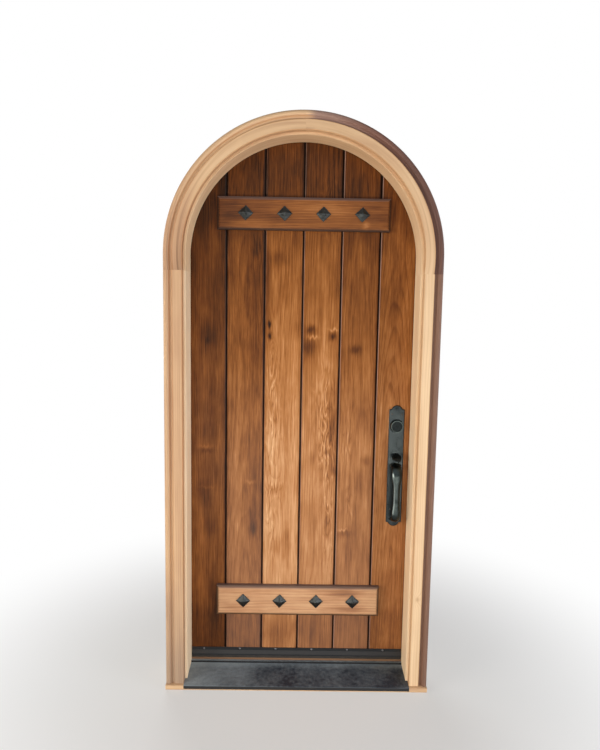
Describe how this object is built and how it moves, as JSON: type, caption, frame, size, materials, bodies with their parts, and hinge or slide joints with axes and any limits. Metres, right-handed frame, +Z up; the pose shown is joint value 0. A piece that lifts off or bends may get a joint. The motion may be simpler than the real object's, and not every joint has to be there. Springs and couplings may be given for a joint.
{
  "type": "arched door",
  "caption": "Arched plank door with studded battens and a bronze handle set, hung in a rabbeted wooden frame with an outer moulding and a sloped sill.",
  "frame": {"origin": "underside of the sill, midway between the jambs, in line with the closed leaf's outside face", "axes": "+X to the right as seen from outside, +Y into the building, +Z up"},
  "size_m": [1.0566, 0.2743, 2.2623],
  "materials": {
    "leaf_wood": "stained knotty planks, satin",
    "batten_wood": "stained knotty board, satin",
    "jamb_wood": "bare pale wood, unfinished",
    "moulding_wood": "bare pale wood, bead and cove stained on the lock side",
    "dowel_wood": "bare",
    "sill_base_wood": "bare",
    "riser_wood": "bare pale wood",
    "weatherstrip": "dark brown, matte",
    "sill_metal": "dark anodised, dusty",
    "sweep_metal": "black anodised, satin",
    "sweep_rubber": "black, matte",
    "stud_iron": "hammered, dark oiled",
    "dark_bronze": "dark oiled bronze, satin",
    "plated_steel": "plated, satin",
    "dark_screws": "blackened, satin",
    "plug_brass": "worn dark brass"
  },
  "bodies": {
    "frame": {"jamb_left_leg": "jamb_wood", "jamb_right_leg": "jamb_wood", "jamb_arch_left": "jamb_wood", "jamb_arch_right": "jamb_wood", "jamb_dowels": "dowel_wood", "moulding_left_leg": "moulding_wood", "moulding_right_leg": "moulding_wood", "moulding_arch_left": "moulding_wood", "moulding_arch_right": "moulding_wood", "weatherstrip_left": "weatherstrip", "weatherstrip_right": "weatherstrip", "weatherstrip_arch": "weatherstrip", "sill_base": "sill_base_wood", "sill_deck": "sill_metal", "sill_riser": "riser_wood", "latch_strike": "dark_bronze", "deadbolt_strike": "dark_bronze", "strike_screws": "dark_screws", "hinge_frame_leaf_top": "dark_bronze", "hinge_frame_leaf_middle": "dark_bronze", "hinge_frame_leaf_bottom": "dark_bronze", "hinge_frame_screws": "dark_screws"},
    "door_leaf": {"plank_1": "leaf_wood", "plank_2": "leaf_wood", "plank_3": "leaf_wood", "plank_4": "leaf_wood", "plank_5": "leaf_wood", "plank_6": "leaf_wood", "upper_batten": "batten_wood", "lower_batten": "batten_wood", "studs": "stud_iron", "sweep_carrier": "sweep_metal", "sweep_fin": "sweep_rubber", "sweep_screws": "dark_screws", "outside_plate": "dark_bronze", "grip": "dark_bronze", "cylinder_collar": "dark_bronze", "lock_cylinder": "dark_bronze", "plate_screws": "dark_screws", "thumb_pin": "dark_screws", "inside_plate": "dark_bronze", "through_bolts": "dark_screws", "latch_case": "plated_steel", "latch_faceplate": "dark_bronze", "deadbolt_case": "plated_steel", "deadbolt_faceplate": "dark_bronze", "faceplate_screws": "dark_screws", "hinge_door_leaf_top": "dark_bronze", "hinge_door_leaf_middle": "dark_bronze", "hinge_door_leaf_bottom": "dark_bronze", "hinge_pins": "dark_bronze", "hinge_door_screws": "dark_screws"},
    "thumb_piece": {"thumb_piece": "dark_bronze"},
    "inside_knob": {"inside_knob": "dark_bronze", "latch_spindle": "plated_steel"},
    "latch_bolt": {"latch_bolt": "plated_steel"},
    "turn_piece": {"turn_piece": "dark_bronze", "deadbolt_tail": "plated_steel"},
    "deadbolt_bolt": {"deadbolt_bolt": "plated_steel"},
    "key_plug": {"key_plug": "plug_brass"}
  },
  "joints": [
    {"name": "door_swing", "type": "hinge", "parent": "frame", "child": "door_leaf", "pos_m": [-0.4585, 0.0645, 0], "axis": [0, 0, 1], "range_deg": [0, 105]},
    {"name": "thumb_press", "type": "hinge", "parent": "door_leaf", "child": "thumb_piece", "pos_m": [0.3935, 0.0045, 0.951], "axis": [1, 0, 0], "range_deg": [0, 15], "stiffness_Nm_per_rad": 0.15, "springref_deg": -34.38},
    {"name": "inside_knob_turn", "type": "hinge", "parent": "door_leaf", "child": "inside_knob", "pos_m": [0.3935, 0.0285, 0.933], "axis": [0, 1, 0], "range_deg": [0, 60]},
    {"name": "latch_slide", "type": "slide", "parent": "door_leaf", "child": "latch_bolt", "axis": [1, 0, 0], "range_m": [0, 0.0127]},
    {"name": "turn_piece_turn", "type": "hinge", "parent": "door_leaf", "child": "turn_piece", "pos_m": [0.3935, 0.0285, 1.067], "axis": [0, 1, 0], "range_deg": [0, 90]},
    {"name": "deadbolt_slide", "type": "slide", "parent": "door_leaf", "child": "deadbolt_bolt", "axis": [1, 0, 0], "range_m": [0, 0.0254]},
    {"name": "key_plug_turn", "type": "hinge", "parent": "door_leaf", "child": "key_plug", "pos_m": [0.3935, 0, 1.067], "axis": [0, 1, 0], "range_deg": [0, 90]}
  ],
  "couplings": [
    {"joint": "latch_slide", "follows": "inside_knob_turn", "m_per_rad": 0.012128},
    {"joint": "turn_piece_turn", "follows": "deadbolt_slide", "rad_per_m": 61.842},
    {"joint": "key_plug_turn", "follows": "deadbolt_slide", "rad_per_m": 61.842}
  ]
}
